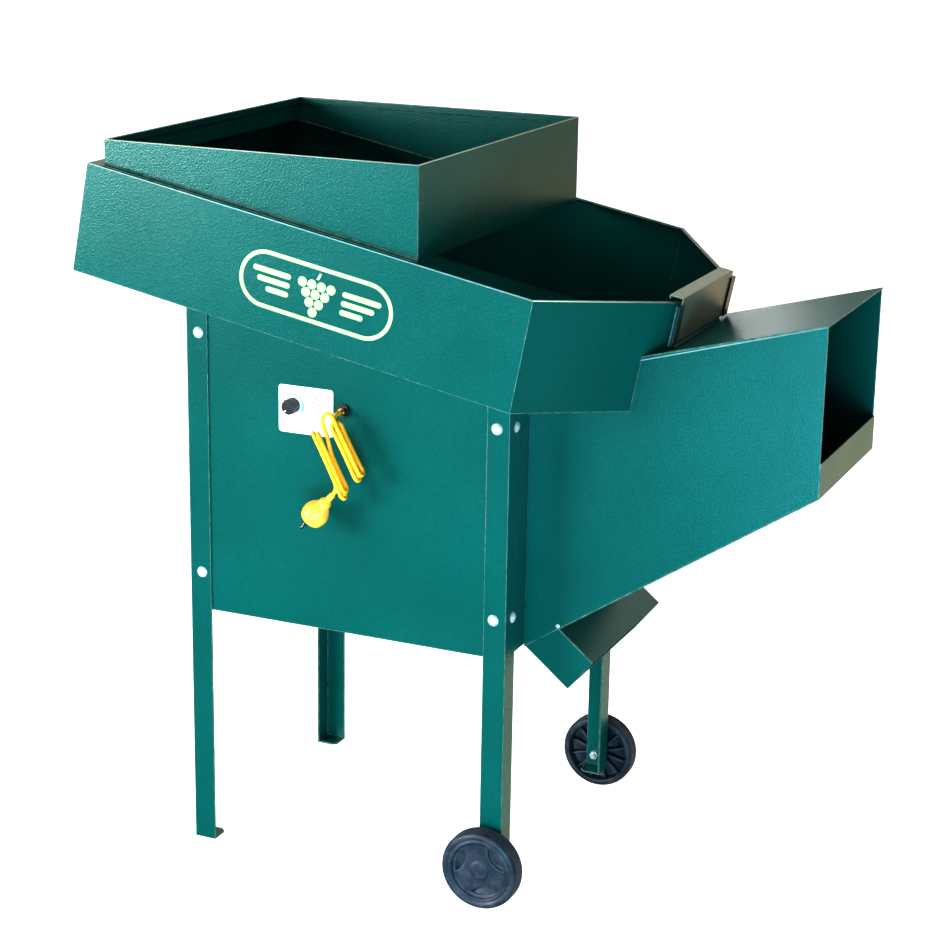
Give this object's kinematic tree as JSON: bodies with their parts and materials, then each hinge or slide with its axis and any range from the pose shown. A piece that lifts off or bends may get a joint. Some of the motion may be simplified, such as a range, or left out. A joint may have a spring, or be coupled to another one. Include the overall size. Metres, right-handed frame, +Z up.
{
  "type": "fruit destemmer and leaf separator",
  "caption": "Wheeled sheet-metal cleaner for harvested fruit: hopper and sloping tray over a blower cabinet, rising leaf duct with an open mouth, low fruit chute.",
  "frame": {"origin": "middle of the footprint of the whole machine without its mains lead, on the floor", "axes": "+X along the machine from the hopper to the leaf duct's mouth, +Y from the control side to the rear, +Z up"},
  "size_m": [1.249, 0.715, 1.266],
  "materials": {
    "green_paint": "satin hammered powder coat",
    "zinc_steel": "zinc plated",
    "galvanised_sheet": "galvanised",
    "motor_aluminium": "cast, painted grey",
    "motor_core": "laminated",
    "bearing_steel": "ground",
    "black_plastic": "matte",
    "white_plastic": "semi-gloss",
    "grey_plastic": "matte",
    "brass_nut": "turned",
    "yellow_cord": "semi-matte",
    "yellow_plug": "semi-gloss",
    "nickel_pins": "nickel plated",
    "wheel_plastic": "matte"
  },
  "bodies": {
    "machine": {"front_panel": "green_paint", "rear_panel": "green_paint", "left_side_panel": "green_paint", "right_side_panel": "green_paint", "leg_front_left": "green_paint", "leg_rear_left": "green_paint", "leg_front_right": "green_paint", "leg_rear_right": "green_paint", "tray_front_wall": "green_paint", "tray_rear_wall": "green_paint", "tray_end_wall": "green_paint", "tray_floor": "green_paint", "gate_guide_front": "green_paint", "gate_guide_rear": "green_paint", "hopper_front_wall": "green_paint", "hopper_rear_wall": "green_paint", "hopper_left_wall": "green_paint", "hopper_right_wall": "green_paint", "duct_front_plate": "green_paint", "duct_rear_plate": "green_paint", "duct_top_panel": "green_paint", "duct_floor_panel": "green_paint", "chute_front_plate": "green_paint", "chute_rear_plate": "green_paint", "chute_top_plate": "green_paint", "chute_bottom_plate": "green_paint", "leg_bolts": "zinc_steel", "leg_nuts": "zinc_steel", "small_rivets": "zinc_steel", "axle_bolts": "zinc_steel", "axle_nuts": "zinc_steel", "axle_spacers": "zinc_steel", "motor_bolts": "zinc_steel", "twig_grid": "zinc_steel", "inlet_guard": "zinc_steel", "scroll_wrap": "galvanised_sheet", "scroll_front_plate": "galvanised_sheet", "scroll_rear_plate": "galvanised_sheet", "inlet_ring": "galvanised_sheet", "blower_rails": "galvanised_sheet", "motor_flange": "motor_aluminium", "motor_housing": "motor_aluminium", "motor_stator": "motor_core", "motor_bearings": "bearing_steel", "motor_fan_cowl": "black_plastic", "control_plate": "white_plastic", "speed_controller": "grey_plastic", "cable_gland": "black_plastic", "gland_nut": "brass_nut", "mains_cord": "yellow_cord", "cord_hank": "yellow_cord", "mains_plug": "yellow_plug", "plug_pins": "nickel_pins"},
    "gate": {"gate": "green_paint"},
    "knob": {"control_knob": "black_plastic"},
    "rotor": {"motor_shaft": "bearing_steel", "motor_rotor": "motor_core", "blower_wheel": "galvanised_sheet"},
    "front_wheel": {"front_wheel": "wheel_plastic"},
    "rear_wheel": {"rear_wheel": "wheel_plastic"}
  },
  "joints": [
    {"name": "gate_slide", "type": "slide", "parent": "machine", "child": "gate", "axis": [0.1874, 0, 0.9823], "range_m": [0, 0.05]},
    {"name": "knob_turn", "type": "hinge", "parent": "machine", "child": "knob", "pos_m": [-0.2625, -0.2675, 0.831], "axis": [0, 1, 0], "range_deg": [0, 270]},
    {"name": "rotor_spin", "type": "hinge", "parent": "machine", "child": "rotor", "pos_m": [-0.1665, -0.0575, 0.66], "axis": [0, 1, 0], "continuous": true},
    {"name": "front_wheel_roll", "type": "hinge", "parent": "machine", "child": "front_wheel", "pos_m": [0.1105, -0.2825, 0.07], "axis": [0, 1, 0], "continuous": true},
    {"name": "rear_wheel_roll", "type": "hinge", "parent": "machine", "child": "rear_wheel", "pos_m": [0.1105, 0.2825, 0.07], "axis": [0, 1, 0], "continuous": true}
  ]
}
